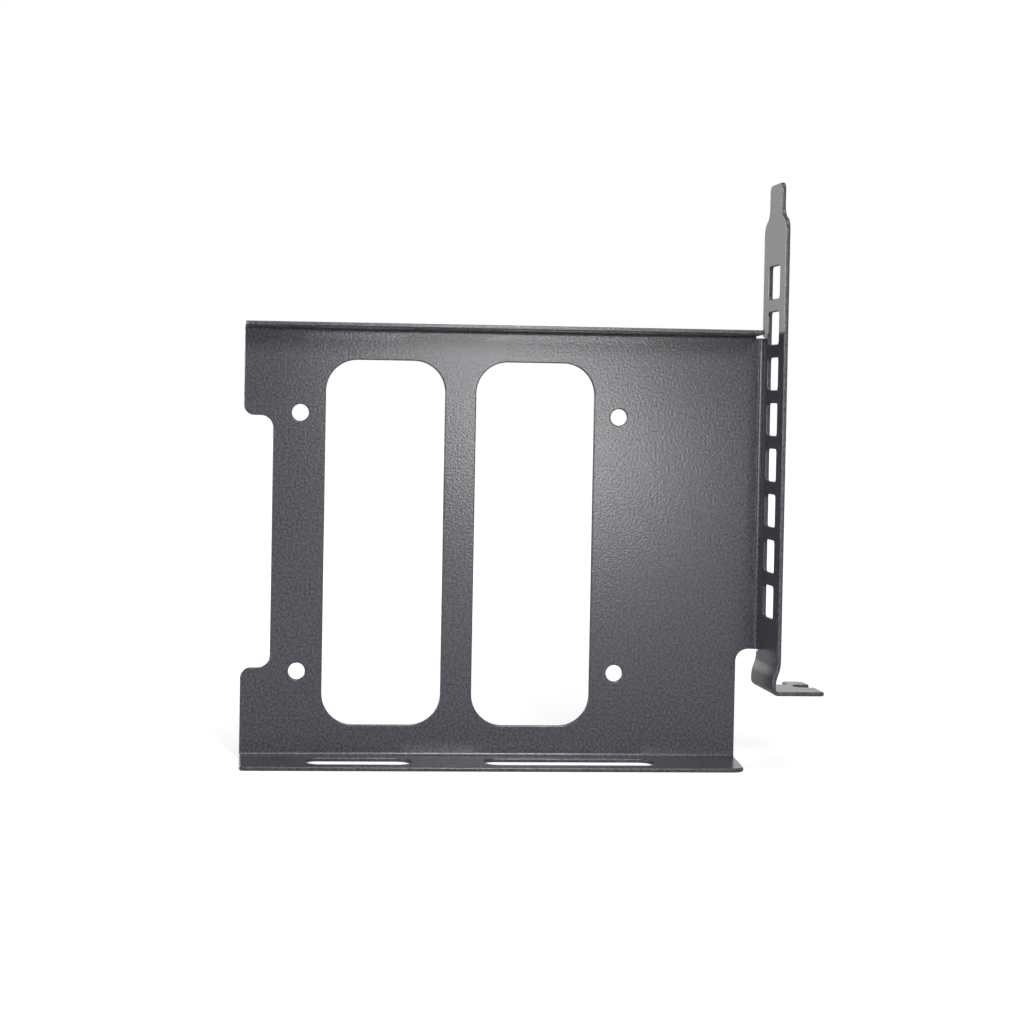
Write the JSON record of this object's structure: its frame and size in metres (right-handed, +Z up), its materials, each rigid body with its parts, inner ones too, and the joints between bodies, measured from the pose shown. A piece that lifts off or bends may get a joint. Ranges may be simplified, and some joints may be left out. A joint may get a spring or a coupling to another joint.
{
  "type": "drive mounting bracket",
  "caption": "Folded sheet-steel bracket that holds a 2.5-inch drive in an expansion slot: windowed plate, side flanges and a vented slot blade with tongue and screw tab.",
  "frame": {"origin": "centre of the drive's hole pattern, on the plate's front face, where the drive sits", "axes": "+X along the drive towards the slot blade, +Z up towards the blade's tongue, -Y out of the plate's front face towards the drive"},
  "size_m": [0.1361, 0.019, 0.1384],
  "materials": {
    "coated_steel": "black fine-textured powder coat, semi-gloss"
  },
  "bodies": {
    "root": {"drive_bracket": "coated_steel"}
  },
  "joints": []
}
